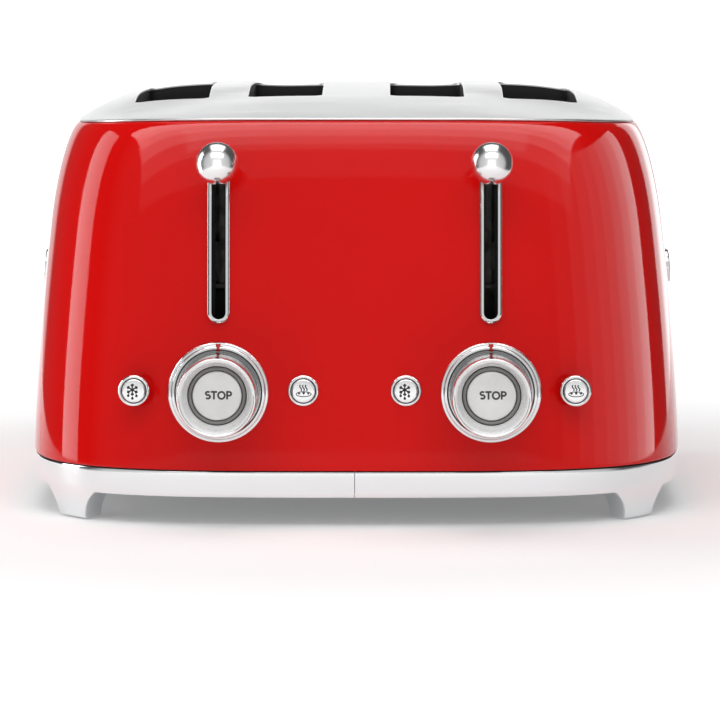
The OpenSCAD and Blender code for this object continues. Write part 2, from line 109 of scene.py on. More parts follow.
def shade_smooth(mesh, sharp):
    """Smooth shading, with a hard edge where faces meet at more than sharp degrees."""
    mesh.polygons.foreach_set("use_smooth", [True] * len(mesh.polygons))
    mesh.set_sharp_from_angle(angle=math.radians(sharp))


def make_object(name, verts, faces, material, sharp=38.0, flip=False):
    """Mesh object from millimetre points. flip None turns every face outwards, True reverses them all."""
    mesh = bpy.data.meshes.new(name)
    points = [tuple(v) for v in np.asarray(verts, float) * MM]
    mesh.from_pydata(points, [], [tuple(int(k) for k in f) for f in faces])
    bm = bmesh.new()
    bm.from_mesh(mesh)
    bmesh.ops.remove_doubles(bm, verts=bm.verts, dist=1e-7)
    bmesh.ops.dissolve_degenerate(bm, edges=bm.edges, dist=1e-7)
    if flip is None:
        bmesh.ops.recalc_face_normals(bm, faces=bm.faces)
    elif flip:
        bmesh.ops.reverse_faces(bm, faces=bm.faces)
    bm.to_mesh(mesh)
    bm.free()
    shade_smooth(mesh, sharp)
    mesh.materials.append(material)
    obj = bpy.data.objects.new(name, mesh)
    bpy.context.scene.collection.objects.link(obj)
    return obj


def place(obj, body, replaced=()):
    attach(obj, body)
    if replaced:
        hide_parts(*replaced)
    return obj


def soften(points, radius, steps=4):
    """Rounds each inner corner of an open outline with a curve that starts radius before the corner."""
    pts = [np.asarray(p, float) for p in points]
    out = [pts[0]]
    for before, here, after in zip(pts, pts[1:], pts[2:]):
        into, away = before - here, after - here
        li, la = np.linalg.norm(into), np.linalg.norm(away)
        cut = min(radius, li * 0.45, la * 0.45)
        p, q = here + into / li * cut, here + away / la * cut
        for k in range(steps + 1):
            f = k / steps
            out.append((1 - f) ** 2 * p + 2 * f * (1 - f) * here + f ** 2 * q)
    out.append(pts[-1])
    return np.array(out)


def lathe(outline, centre_x, centre_z, turns=144, closed=False):
    """Vertices and faces of an outline of (radius, forward) pairs turned about a front-to-back axis."""
    outline = np.asarray(outline, float)
    ang = np.linspace(0, 2 * math.pi, turns, endpoint=False)
    r, d = outline[:, 0][:, None], outline[:, 1][:, None]
    x = centre_x + r * np.cos(ang)[None]
    z = centre_z + r * np.sin(ang)[None]
    y = -d + 0 * x
    return np.stack([x, y, z], -1).reshape(-1, 3), ring_faces(len(outline), turns, wrap_rows=closed)


def join_meshes(*sets):
    verts, faces, base = [], [], 0
    for v, f in sets:
        verts.append(np.asarray(v, float))
        faces += [tuple(int(k) + base for k in face) for face in f]
        base += len(v)
    return np.concatenate(verts), faces


def cut(obj, cutters):
    """Takes each cutter object out of obj with an exact boolean, then drops the cutters."""
    for cutter in cutters:
        mod = obj.modifiers.new("cut", "BOOLEAN")
        mod.operation, mod.solver, mod.object = "DIFFERENCE", "EXACT", cutter
    deps = bpy.context.evaluated_depsgraph_get()
    mesh = bpy.data.meshes.new_from_object(obj.evaluated_get(deps))
    obj.modifiers.clear()
    obj.data = mesh
    for cutter in cutters:
        bpy.data.objects.remove(cutter)
    return obj


def prism(name, loop, z0, z1):
    """Upright prism over a closed plan loop, for cutting."""
    loop = np.asarray(loop, float)
    n = len(loop)
    v = np.concatenate([np.c_[loop, np.full(n, z0)], np.c_[loop, np.full(n, z1)]])
    f = [tuple(range(n))[::-1], tuple(range(n, 2 * n))]
    f += [(i, (i + 1) % n, n + (i + 1) % n, n + i) for i in range(n)]
    return make_object(name, v, f, blank, flip=None)


def rounded_box(half_x, half_y, radius, steps=10):
    """Closed loop of a rounded rectangle about the origin, with the outward normal at each point."""
    pts, normals = [], []
    for k, (sx, sy) in enumerate(((1, 1), (-1, 1), (-1, -1), (1, -1))):
        for a in np.linspace(k * math.pi / 2, (k + 1) * math.pi / 2, steps + 1):
            n = np.array([math.cos(a), math.sin(a)])
            pts.append(np.array([sx * (half_x - radius), sy * (half_y - radius)]) + radius * n)
            normals.append(n)
    return np.array(pts), np.array(normals)




# ---------------------------------------------------------------- materials
def new_material(name):
    mat = bpy.data.materials.new(name)
    mat.use_nodes = True
    nt = mat.node_tree
    bsdf = next(n for n in nt.nodes if n.type == "BSDF_PRINCIPLED")
    return mat, nt, bsdf


def coords(nt, scale=(1, 1, 1)):
    tc = nt.nodes.new("ShaderNodeTexCoord")
    mp = nt.nodes.new("ShaderNodeMapping")
    mp.inputs["Scale"].default_value = scale
    nt.links.new(tc.outputs["Object"], mp.inputs["Vector"])
    return mp.outputs["Vector"]


def noise(nt, vector, scale, detail=4.0, rough=0.55):
    n = nt.nodes.new("ShaderNodeTexNoise")
    n.inputs["Scale"].default_value = scale
    n.inputs["Detail"].default_value = detail
    n.inputs["Roughness"].default_value = rough
    nt.links.new(vector, n.inputs["Vector"])
    return n.outputs["Fac"]


def spread(nt, fac, low, high, from_low=0.3, from_high=0.7):
    m = nt.nodes.new("ShaderNodeMapRange")
    for key, value in (("From Min", from_low), ("From Max", from_high), ("To Min", low), ("To Max", high)):
        m.inputs[key].default_value = value
    nt.links.new(fac, m.inputs["Value"])
    return m.outputs["Result"]


def tint(nt, fac, dark, light, low=0.3, high=0.7):
    r = nt.nodes.new("ShaderNodeValToRGB")
    r.color_ramp.elements[0].position, r.color_ramp.elements[1].position = low, high
    r.color_ramp.elements[0].color = (*dark, 1)
    r.color_ramp.elements[1].color = (*light, 1)
    nt.links.new(fac, r.inputs["Fac"])
    return r.outputs["Color"]


def bump(nt, bsdf, height, strength, distance):
    b = nt.nodes.new("ShaderNodeBump")
    b.inputs["Strength"].default_value = strength
    b.inputs["Distance"].default_value = distance
    nt.links.new(height, b.inputs["Height"])
    nt.links.new(b.outputs["Normal"], bsdf.inputs["Normal"])


def scaled(color, k):
    return tuple(min(1.0, c * k) for c in color)


def enamel(name, color, roughness=0.07, gloss=0.5, peel=0.05):
    """Sprayed and baked paint: a faint orange peel, barely uneven colour and a few duller patches."""
    mat, nt, bsdf = new_material(name)
    v = coords(nt)
    cloud = noise(nt, v, 14, 3)
    nt.links.new(tint(nt, cloud, scaled(color, 0.975), scaled(color, 1.02)), bsdf.inputs["Base Color"])
    wiped = noise(nt, v, 55, 6, 0.65)
    nt.links.new(spread(nt, wiped, roughness * 0.8, roughness * 1.5, 0.35, 0.75), bsdf.inputs["Roughness"])
    bsdf.inputs["Specular IOR Level"].default_value = gloss
    bump(nt, bsdf, noise(nt, v, 900, 1), peel, 0.00004)
    return mat


def chrome(name, color, roughness=0.06, streak=(1, 1, 1), wear=1.5):
    """Polished plating: reflective, with hairline polishing marks in its roughness and the odd smear."""
    mat, nt, bsdf = new_material(name)
    bsdf.inputs["Metallic"].default_value = 1.0
    smear = noise(nt, coords(nt), 38, 5, 0.6)
    nt.links.new(tint(nt, smear, scaled(color, 0.97), color), bsdf.inputs["Base Color"])
    hair = noise(nt, coords(nt, streak), 1500, 2)
    mix = nt.nodes.new("ShaderNodeMath")
    mix.operation = "MULTIPLY"
    nt.links.new(spread(nt, smear, roughness, roughness * wear), mix.inputs[0])
    nt.links.new(spread(nt, hair, 0.9, 1.15), mix.inputs[1])
    nt.links.new(mix.outputs[0], bsdf.inputs["Roughness"])
    bump(nt, bsdf, hair, 0.02, 0.00001)
    return mat


def brushed(name, color, streak, roughness=0.3, depth=0.12, scale=420):
    """Satin sheet with straight brushing. streak squeezes the grain along its length."""
    mat, nt, bsdf = new_material(name)
    bsdf.inputs["Metallic"].default_value = 1.0
    grain = noise(nt, coords(nt, streak), scale, 5, 0.7)
    cloud = noise(nt, coords(nt), 18, 3)
    both = nt.nodes.new("ShaderNodeMath")
    both.operation = "MULTIPLY_ADD"
    both.inputs[1].default_value = 0.3
    nt.links.new(cloud, both.inputs[0])
    part = nt.nodes.new("ShaderNodeMath")
    part.operation = "MULTIPLY"
    part.inputs[1].default_value = 0.7
    nt.links.new(grain, part.inputs[0])
    nt.links.new(part.outputs[0], both.inputs[2])
    shade = tint(nt, both.outputs[0], scaled(color, 0.9), scaled(color, 1.06))
    nt.links.new(shade, bsdf.inputs["Base Color"])
    nt.links.new(spread(nt, grain, roughness * 0.8, roughness * 1.25), bsdf.inputs["Roughness"])
    bump(nt, bsdf, grain, depth, 0.00003)
    return mat


def blasted(name, color, roughness=0.45, metallic=1.0, grain=2600, depth=0.2):
    """Fine even matte surface, as on a bead-blasted cap or a moulded part with a spark-eroded texture."""
    mat, nt, bsdf = new_material(name)
    bsdf.inputs["Metallic"].default_value = metallic
    v = coords(nt)
    fine = noise(nt, v, grain, 2)
    shade = tint(nt, noise(nt, v, 60, 4), scaled(color, 0.93), scaled(color, 1.05))
    nt.links.new(shade, bsdf.inputs["Base Color"])
    nt.links.new(spread(nt, fine, roughness * 0.85, roughness * 1.2), bsdf.inputs["Roughness"])
    bump(nt, bsdf, fine, depth, 0.00003)
    return mat


def spangled(name, color):
    """Zinc-coated sheet: crystal spangles a few millimetres across, each a little lighter or darker."""
    mat, nt, bsdf = new_material(name)
    bsdf.inputs["Metallic"].default_value = 1.0
    v = coords(nt)
    cells = nt.nodes.new("ShaderNodeTexVoronoi")
    cells.inputs["Scale"].default_value = 210
    nt.links.new(v, cells.inputs["Vector"])
    gray = nt.nodes.new("ShaderNodeSeparateColor")
    nt.links.new(cells.outputs["Color"], gray.inputs["Color"])
    shade = tint(nt, gray.outputs["Red"], scaled(color, 0.82), scaled(color, 1.1), 0, 1)
    nt.links.new(shade, bsdf.inputs["Base Color"])
    nt.links.new(spread(nt, gray.outputs["Green"], 0.3, 0.5, 0, 1), bsdf.inputs["Roughness"])
    bump(nt, bsdf, noise(nt, v, 800, 3), 0.1, 0.00003)
    return mat


def mica_sheet(name):
    """Pressed mica board: pale flakes in a tan ground, with a soft pearly sheen."""
    mat, nt, bsdf = new_material(name)
    v = coords(nt)
    cells = nt.nodes.new("ShaderNodeTexVoronoi")
    cells.inputs["Scale"].default_value = 320
    nt.links.new(v, cells.inputs["Vector"])
    gray = nt.nodes.new("ShaderNodeSeparateColor")
    nt.links.new(cells.outputs["Color"], gray.inputs["Color"])
    flakes = tint(nt, gray.outputs["Red"], (0.36, 0.3, 0.2), (0.6, 0.53, 0.4), 0, 1)
    nt.links.new(flakes, bsdf.inputs["Base Color"])
    nt.links.new(spread(nt, gray.outputs["Green"], 0.35, 0.6, 0, 1), bsdf.inputs["Roughness"])
    bump(nt, bsdf, noise(nt, v, 500, 4), 0.15, 0.00005)
    return mat


def board_laminate(name):
    """Green solder mask over a glass weave."""
    mat, nt, bsdf = new_material(name)
    v = coords(nt)
    waves = nt.nodes.new("ShaderNodeTexWave")
    waves.inputs["Scale"].default_value = 700
    waves.inputs["Distortion"].default_value = 0.6
    nt.links.new(v, waves.inputs["Vector"])
    mask = tint(nt, waves.outputs["Fac"], (0.014, 0.1, 0.035), (0.03, 0.16, 0.06), 0, 1)
    nt.links.new(mask, bsdf.inputs["Base Color"])
    nt.links.new(spread(nt, noise(nt, v, 300, 3), 0.28, 0.45), bsdf.inputs["Roughness"])
    bump(nt, bsdf, waves.outputs["Fac"], 0.06, 0.00002)
    return mat


blank = bpy.data.materials.new("blank")
red_enamel = enamel("red_enamel", (0.60, 0.0042, 0.0034), roughness=0.06, gloss=0.13, peel=0.03)
panel_steel = brushed("panel_steel", (0.73, 0.735, 0.735), (0.03, 1, 1), roughness=0.34)
trim_chrome = chrome("trim_chrome", (0.81, 0.82, 0.83), roughness=0.075)
control_chrome = chrome("control_chrome", (0.76, 0.765, 0.77), roughness=0.09)
# painted reflection: dark plating on the dials' outer walls for the dark reflections there
shade_chrome = chrome("shade_chrome", (0.10, 0.098, 0.095), roughness=0.12)
ball_chrome = chrome("ball_chrome", (0.86, 0.86, 0.865), roughness=0.18, wear=1.2)
# painted shade: near-black zinc for the parts that sit in shade deep inside the casing
painted_shade_steel = spangled("painted_shade_steel", (0.09, 0.088, 0.085))
dial_chrome = chrome("dial_chrome", (0.82, 0.82, 0.825), roughness=0.12)
# painted reflection: near-white and barely metallic, standing for the bright reflection in the dials' metal dish
bowl_painted_reflection = blasted("bowl_painted_reflection", (0.98, 0.98, 0.985), roughness=0.25, metallic=0.12, depth=0.04)
wire_chrome = chrome("wire_chrome", (0.82, 0.82, 0.82), roughness=0.12)
cap_silver = blasted("cap_silver", (0.74, 0.74, 0.735), roughness=0.5)
ring_black = blasted("ring_black", (0.19, 0.185, 0.178), roughness=0.55, metallic=0.0, grain=1800)
# painted shade: near-black for the shade in the bread slots, under the casing's edge and in the lever slots
painted_shade_black = blasted("painted_shade_black", (0.002, 0.002, 0.002), roughness=0.6, metallic=0.0)
legend_ink = blasted("legend_ink", (0.045, 0.044, 0.042), roughness=0.5, metallic=0.0)
icon_ink = blasted("icon_ink", (0.012, 0.012, 0.014), roughness=0.5, metallic=0.0)
index_red = enamel("index_red", (0.5, 0.016, 0.014), roughness=0.25)
zinc = spangled("zinc_sheet", (0.55, 0.56, 0.57))
tray_steel = brushed("tray_steel", (0.62, 0.63, 0.63), (1, 0.03, 1), roughness=0.32)
spring_steel = brushed("spring_steel", (0.42, 0.42, 0.42), (1, 1, 0.05), roughness=0.3)
black_plastic = blasted("black_plastic", (0.014, 0.014, 0.015), roughness=0.45, metallic=0.0, grain=1500)
rubber = blasted("rubber_pad", (0.02, 0.02, 0.02), roughness=0.8, metallic=0.0, grain=900, depth=0.5)
mica = mica_sheet("mica")
laminate = board_laminate("circuit_board")
BY_SLOT = {
    "red_enamel": red_enamel, "brushed_steel": panel_steel, "chrome_trim": trim_chrome,
    "chrome_control": control_chrome, "chrome_wire": wire_chrome, "matte_silver": cap_silver,
    "zinc_sheet": zinc, "tray_steel": tray_steel,
    "spring_steel": spring_steel, "black_plastic": black_plastic, "rubber_pad": rubber, "mica": mica,
    "circuit_board": laminate,
}
for part in frame["record"]["subparts"]:
    cad = nodes[part["node"]]
    finish = BY_SLOT[part["material_slot"]]
    # painted shade: the carriages, chassis and latches take the near-black zinc in place of their own zinc
    # colour
    if part["node"].startswith(("carriage_left", "carriage_right", "chassis_", "latch_")):
        finish = painted_shade_steel
    cad.data.materials.clear()
    cad.data.materials.append(finish)


# ---------------------------------------------------------------- red casing
def upright_stadium(x, z_low, z_high, half, steps=16):
    arc = np.linspace(0, math.pi, steps + 1)
    top = [(x + half * math.cos(a), z_high - half + half * math.sin(a)) for a in arc]
    low = [(x - half * math.cos(a), z_low + half - half * math.sin(a)) for a in arc]
    return np.array(top + low)


def level_prism(loop, y0, y1):
    """Closed solid from a loop in the X-Z plane, run from y0 to y1."""
    n = len(loop)
    v = np.concatenate([np.c_[loop[:, 0], np.full(n, y), loop[:, 1]] for y in (y0, y1)])
    f = [tuple(range(n))[::-1], tuple(range(n, 2 * n))]
    return v, f + [(i, (i + 1) % n, n + (i + 1) % n, n + i) for i in range(n)]


def circle_loop(x, z, r, steps=48):
    a = np.linspace(0, 2 * math.pi, steps, endpoint=False)
    return np.c_[x + r * np.cos(a), z + r * np.sin(a)]


def corner_normals(mesh):
    out = np.empty(len(mesh.loops) * 3)
    mesh.corner_normals.foreach_get("vector", out)
    return out.reshape(-1, 3)


def use_surface_normals(obj, surface_normal, limit=0.93):
    """Where a face lies on the stated surface, its corners take that surface's exact normal, so that gloss
    runs smoothly past the openings. The other faces keep their own."""
    mesh = obj.data
    sizes = np.empty(len(mesh.polygons), int)
    mesh.polygons.foreach_get("loop_total", sizes)
    flat = np.empty(len(mesh.polygons) * 3)
    mesh.polygons.foreach_get("normal", flat)
    flat = np.repeat(flat.reshape(-1, 3), sizes, axis=0)
    order = np.empty(len(mesh.loops), int)
    mesh.loops.foreach_get("vertex_index", order)
    co = np.empty(len(mesh.vertices) * 3)
    mesh.vertices.foreach_get("co", co)
    co = co.reshape(-1, 3)[order] / MM
    exact, on_surface = surface_normal(co)
    own = corner_normals(mesh)
    close = (np.einsum("ij,ij->i", exact, flat) > limit) & on_surface
    mesh.normals_split_custom_set(np.where(close[:, None], exact, own).tolist())


def unit(v):
    return v / np.maximum(np.linalg.norm(v, axis=-1, keepdims=True), 1e-9)


def shell_normal(p):
    x, y, z = p[:, 0], p[:, 1] - MID_Y, p[:, 2].copy()
    for _ in range(6):
        a, b = HALF_W - wall_inset(z), HALF_D - wall_inset(z)
        c2 = np.clip(np.abs(x / a) ** SQUARE, 0, 1)
        z = p[:, 2] + DROOP * np.minimum(1, rise(z)) ** 3 * c2
    z = np.minimum(z, SEAM_Z - 0.02)
    a, b = HALF_W - wall_inset(z), HALF_D - wall_inset(z)
    slope = (wall_inset(z + 0.01) - wall_inset(z - 0.01)) / 0.02
    u, v = np.abs(x) / a, np.abs(y) / b
    n = np.stack([np.sign(x) * u ** (SQUARE - 1) / a, np.sign(y) * v ** (SQUARE - 1) / b,
                  (u ** SQUARE / a + v ** SQUARE / b) * slope], -1)
    return unit(n), np.abs(u ** SQUARE + v ** SQUARE - 1) < 0.02


def sweep_plan(rows, ts, closed=True):
    """Points for rows of (inset, z, droop share) round the plan at parameters ts."""
    out = []
    for inset, z, share in rows:
        x, y = plan(HALF_W - inset, HALF_D - inset, ts)
        out.append(np.stack([x, y, z - DROOP * share * np.cos(ts) ** 2], -1))
    return np.concatenate(out), ring_faces(len(rows), len(ts), wrap_rows=closed)


def make_shell():
    ts = even_params(560, HALF_W - 10, HALF_D - 10)
    shoulder = SHOULDER_AT + (1 - SHOULDER_AT) * np.sin(np.linspace(0, 1, 34) * math.pi / 2)
    wall = np.concatenate([np.linspace(SHELL_Z0, 140, 44, endpoint=False), SHELL_Z0 + 168 * shoulder])
    rows = [(0.75, SHELL_Z0, 0), (0.3, SHELL_Z0 + 0.1, 0), (0.06, SHELL_Z0 + 0.4, 0)]
    rows += [(wall_inset(z), z, min(1, rise(z)) ** 3) for z in wall[wall > SHELL_Z0 + 0.6]]
    top_in = rows[-1][0]
    rows += [(top_in + 4, SEAM_Z, 1), (top_in + 4, SEAM_Z - 1.4, 1)]
    rows += [(wall_inset(z) + 1.4, z - 1.4 * rise(z) ** 6, min(1, rise(z)) ** 3) for z in wall[::-2]]
    rows.append((1.4, SHELL_Z0, 0))
    v, f = sweep_plan(rows, ts)
    shell = make_object("casing_shell", v, f, red_enamel, sharp=32, flip=None)
    holes = []
    for _, s in SIDES:
        holes.append(level_prism(upright_stadium(s * LEVER_X, *LEVER_HOLE), -190, -120))
        holes.append(level_prism(circle_loop(s * LEVER_X, DIAL_Z, DIAL_HOLE_R), -190, -140))
        holes += [level_prism(circle_loop(s * LEVER_X + k * BUTTON_X, BUTTON_Z, BUTTON_HOLE_R), -190, -140)
                  for k in (-1, 1)]
    holes.append(level_prism(circle_loop(0, CORD_HOLE_Z, CORD_HOLE_R), 180, 210))
    cutter = make_object("holes", *join_meshes(*holes), blank, flip=None)
    cut(shell, [cutter])
    shade_smooth(shell.data, 32)
    use_surface_normals(shell, shell_normal)
    return place(shell, "root", ["body_shell"])


# ---------------------------------------------------------------- top panel with its rolled slots
def dome_z(x, y):
    u, v = np.abs(x / PANEL_A) ** SQUARE, np.abs((y - MID_Y) / PANEL_B) ** SQUARE
    r = np.clip((u + v) ** (1 / SQUARE), 1e-6, 1)
    c2 = np.clip(u / r ** SQUARE, 0, 1)
    edge = SEAM_Z + PANEL_T + 0.1 - DROOP * c2
    return edge + (TOP_Z - edge) * (1 - r ** (1.85 + 4.15 * c2 ** 3))


def panel_normal(p):
    x, y, h = p[:, 0], p[:, 1], 0.25
    dx = (dome_z(x + h, y) - dome_z(x - h, y)) / (2 * h)
    dy = (dome_z(x, y + h) - dome_z(x, y - h)) / (2 * h)
    return unit(np.stack([-dx, -dy, 1 + 0 * dx], -1)), np.abs(p[:, 2] - dome_z(x, y)) < 0.06


def make_panel():
    ts = even_params(560, PANEL_A, PANEL_B)
    shares = np.concatenate([np.linspace(0.0, 0.86, 46, endpoint=False), np.linspace(0.86, 0.9965, 22)])
    top = []
    for share in shares:
        x, y = plan(PANEL_A * share, PANEL_B * share, ts)
        top.append(np.stack([x, y, dome_z(x, y)], -1))
    ex, ey = plan(PANEL_A, PANEL_B, ts)
    edge = dome_z(ex, ey)
    hem = ((0.28, -0.05), (0.08, -0.24), (0.0, -0.55), (0.1, -0.9), (0.35, -1.13), (0.8, -1.2), (3.0, -1.2))
    for inset, drop in hem:
        x, y = plan(PANEL_A - inset, PANEL_B - inset, ts)
        top.append(np.stack([x, y, edge + drop], -1))
    for share in (0.94, 0.85, 0.7, 0.5, 0.25, 0.0):
        x, y = plan(PANEL_A * share, PANEL_B * share, ts)
        top.append(np.stack([x, y, dome_z(x, y) - 1.2], -1))
    panel = make_object("top_panel_sheet", np.concatenate(top), ring_faces(len(top), len(ts)), panel_steel,
                        flip=None)
    roll = 0.9
    loop, out = rounded_box(SLOT_W / 2, SLOT_LEN / 2, SLOT_R)
    long_loop, long_out = [], []
    for k in range(len(loop)):
        nxt = (k + 1) % len(loop)
        parts = max(1, int(np.linalg.norm(loop[nxt] - loop[k]) / 3))
        for j in range(parts):
            long_loop.append(loop[k] + (loop[nxt] - loop[k]) * j / parts)
            long_out.append(out[k] if j == 0 else (out[k] + out[nxt]) / 2)
    loop, out = np.array(long_loop), unit(np.array(long_out))
    cutters, rims = [], []
    for well in WELLS:
        base = loop + np.array([well, SLOT_MID_Y])
        cutters.append(prism("slot", base + out * roll, 180, 230))
        rows = []
        for a in np.linspace(0, math.pi / 2, 9):
            at = base + out * roll * (1 - math.sin(a))
            rows.append(np.c_[at, dome_z(at[:, 0], at[:, 1]) - roll * (1 - math.cos(a))])
        rows.append(np.c_[base, dome_z(base[:, 0], base[:, 1]) - roll - 0.5])
        rows.append(np.c_[base, np.full(len(base), 188.6)])
        rows.append(np.c_[base + out * 0.4, np.full(len(base), 188.0)])
        rows.append(np.c_[base + out * 1.0, np.full(len(base), 188.5)])
        far = base + out * 1.0
        rows.append(np.c_[far, dome_z(far[:, 0], far[:, 1]) - 1.3])
        rims.append((np.concatenate(rows), ring_faces(len(rows), len(base))))
    cut(panel, cutters)
    rim = make_object("rims", *join_meshes(*rims), panel_steel, sharp=60)
    if rim.data.polygons[0].normal.z < 0:
        rim.data.flip_normals()
    bm = bmesh.new()
    bm.from_mesh(panel.data)
    bm.from_mesh(rim.data)
    bm.to_mesh(panel.data)
    bm.free()
    bpy.data.objects.remove(rim)
    # painted shade: the slot walls below the rolled rims are near-black, for the shade down the wells
    panel.data.materials.append(painted_shade_black)
    for face in panel.data.polygons:
        c = face.center / MM
        deep = c.z < float(dome_z(np.array([c.x]), np.array([c.y]))[0]) - 1.25
        inside = abs(c.x) < 125 and abs(c.y - SLOT_MID_Y) < SLOT_LEN / 2 + 4
        face.material_index = 1 if deep and inside else 0
    shade_smooth(panel.data, 50)
    use_surface_normals(panel, panel_normal, 0.97)
    return place(panel, "root", ["top_panel"])


# ---------------------------------------------------------------- chrome skirts, each with its two feet
def foot_floor(t_deg):
    """Height of the skirt's lower edge: level between the feet, and swept down to the floor at each."""
    away = np.minimum.reduce([np.abs((t_deg - f + 180) % 360 - 180) for f in FEET_AT])
    curve = 16.6 * np.clip((away - 6.4) / 6.6, 0, None) ** (1 / 2.3)
    curve = np.maximum(curve, 0.8)
    k = 1.3
    h = np.clip(0.5 + 0.5 * (SKIRT_LOW - curve) / k, 0, 1)
    return SKIRT_LOW * (1 - h) + curve * h - k * h * (1 - h) * 0.5


def skirt_inset(z):
    """The outer face is upright down to the skirt's edge and leans in below it, on the feet."""
    below = np.clip((16.5 - z) / 15.7, 0, 1)
    return 0.3 + 2.7 * below ** 1.25


def make_trim(side, sign):
    even = np.degrees(even_params(640, HALF_W, HALF_D))
    even = even[(even > 91.6) & (even < 268.4)]
    near = np.concatenate([f + s * np.linspace(6.2, 13.5, 74) for f in (140, 220) for s in (-1, 1)])
    across = np.array([0.15, 0.5, 1.5, 4, 8, 14])
    flank = 180 - np.degrees(np.arccos((across / HALF_W) ** (SQUARE / 2)))
    ts_deg = np.unique(np.concatenate([even, near, flank, 360 - flank]))
    ts_deg = ts_deg[np.concatenate([[True], np.diff(ts_deg) > 1e-6])]
    ts = np.radians(ts_deg)
    floor = foot_floor(ts_deg)
    share = np.clip((14.3 - floor) / 4.0, 0, 1)
    rows = [(3.4, 30.4), (1.7, 30.4), (1.7, 26.85), (0.65, 26.8), (0.42, 26.72), (0.32, 26.5), (0.3, 26.2)]
    cols = [(inset + 0 * ts, z + 0 * ts) for inset, z in rows]
    edge = 0.5
    for k in np.linspace(0, 1, 18):
        z = 24.5 + (floor + edge - 24.5) * k
        cols.append((skirt_inset(z), z))
    for a in np.linspace(0, math.pi / 2, 6)[1:]:
        z = floor + edge * (1 - math.sin(a))
        cols.append((skirt_inset(z) + edge * (1 - math.cos(a)), z))
    cols = [(inset, inset, z) for inset, z in cols]
    deep_x, deep_y = 8.6 + 2.6 * share, 8.6 + 10 * share
    cols += [(deep_x - 0.6, deep_y - 0.6, floor), (deep_x, deep_y, floor + 0.6),
             (deep_x, deep_y, 16.4 + 0 * ts), (3.4 + 0 * ts, 3.4 + 0 * ts, 16.4 + 0 * ts)]
    pts = []
    for inset_x, inset_y, z in cols:
        x, y = plan(HALF_W - inset_x, HALF_D - inset_y, ts)
        pts.append(np.stack([-sign * x, y, z], -1))
    rows_n, n = len(cols), len(ts)
    faces = [tuple(int(k) for k in q) for q in ring_faces(rows_n, n, wrap_rows=True, wrap_cols=False)]
    faces.append(tuple(r * n for r in range(rows_n)))
    faces.append(tuple(r * n + n - 1 for r in range(rows_n))[::-1])
    trim = make_object(f"skirt_{side}", np.concatenate(pts), faces, trim_chrome, sharp=35, flip=None)
    near, far = sign * TRAY_NEAR, sign * TRAY_FAR
    opening = [(near, 100), (far, 100), (far, 220), (near, 220)][::sign]
    cut(trim, [prism("tray_opening", opening, TRAY_LOW, TRAY_HIGH)])
    shade_smooth(trim.data, 35)
    trim.data.materials.append(painted_shade_black)      # painted shade: the tongue that the casing sits over is near-black, for the shadow under the casing's edge
    for face in trim.data.polygons:
        face.material_index = 1 if face.center.z / MM > 26.81 else 0
    return place(trim, "root", [f"base_trim_{side}"])


def make_pads():
    """Rubber discs let into the soles of the feet."""
    pads = []
    for t in np.radians(FEET_AT):
        x, y = plan(HALF_W - 7.3, HALF_D - 12.0, t)
        a = np.linspace(0, 2 * math.pi, 40, endpoint=False)
        loops = [np.c_[x + r * np.cos(a), y + r * np.sin(a), np.full(40, z)]
                 for r, z in ((0.01, 0.0), (2.3, 0.0), (2.7, 0.3), (2.7, 2.0), (0.01, 2.0))]
        pads.append((np.concatenate(loops), ring_faces(5, 40)))
    soles = make_object("sole_pads", *join_meshes(*pads), rubber, flip=None)
    place(soles, "root", ["foot_pads"])


make_shell()
make_panel()
make_pads()
for side, sign in SIDES:
    make_trim(side, sign)


# ---------------------------------------------------------------- controls on the front
DIAL_FACE = -float(front_y(DIAL_Z))
BUTTON_FACE = -float(front_y(BUTTON_Z))


def turned(name, x, z, outline, material, body, replaced, radius=0.3, turns=160, sharp=50):
    outline = soften(outline, radius)
    v, f = lathe(outline, x, z, turns)
    obj = make_object(name, v, f, material, sharp=sharp, flip=None)
    return place(obj, body, replaced)


SURROUND = [[16.2, DIAL_FACE + 1.0], [16.2, DIAL_FACE + 3.3], [20.6, DIAL_FACE + 3.3],
            [21.1, DIAL_FACE + 4.0], [22.3, DIAL_FACE + 3.65], [22.75, DIAL_FACE + 2.6],
            [23.8, DIAL_FACE + 2.45], [24.35, DIAL_FACE + 1.5], [24.4, DIAL_FACE - 4.5],
            [23.0, DIAL_FACE - 4.8]]


def stroke(path, half, depth, at, forward):
    """Raised line of half width half along a path of (x, z) moved by at, on the plane forward of the origin."""
    path = np.asarray(path, float) + np.asarray(at)
    seg = unit(np.diff(path, axis=0))
    closed = np.linalg.norm(path[0] - path[-1]) < 1e-6
    side = []
    for i in range(len(path)):
        before = seg[i - 1] if i > 0 else (seg[-1] if closed else seg[0])
        after = seg[i] if i < len(seg) else (seg[0] if closed else seg[-1])
        mid = unit((before + after)[None])[0]
        n = np.array([-mid[1], mid[0]])
        side.append(n / max(0.5, float(n @ np.array([-after[1], after[0]]))))
    side = np.array(side) * half
    v = []
    for off, lift in ((side, 0), (side, depth), (-side, depth), (-side, 0)):
        p = path + off
        v.append(np.c_[p[:, 0], np.full(len(p), -(forward + lift)), p[:, 1]])
    n = len(path)
    f = [tuple(int(k) for k in q) for q in ring_faces(4, n, wrap_rows=True, wrap_cols=False)]
    if not closed:
        f += [(0, n, 2 * n, 3 * n), (n - 1, 4 * n - 1, 3 * n - 1, 2 * n - 1)]
    return np.concatenate(v), f


def arc(cx, cz, rx, rz, a0, a1, steps=20):
    a = np.radians(np.linspace(a0, a1, steps))
    return np.c_[cx + rx * np.cos(a), cz + rz * np.sin(a)]


def blot(outline, depth, at, forward):
    """Raised flat patch with the closed outline of (x, z) points."""
    loop = np.asarray(outline, float) + np.asarray(at)
    return level_prism(loop, -(forward + depth), -forward)


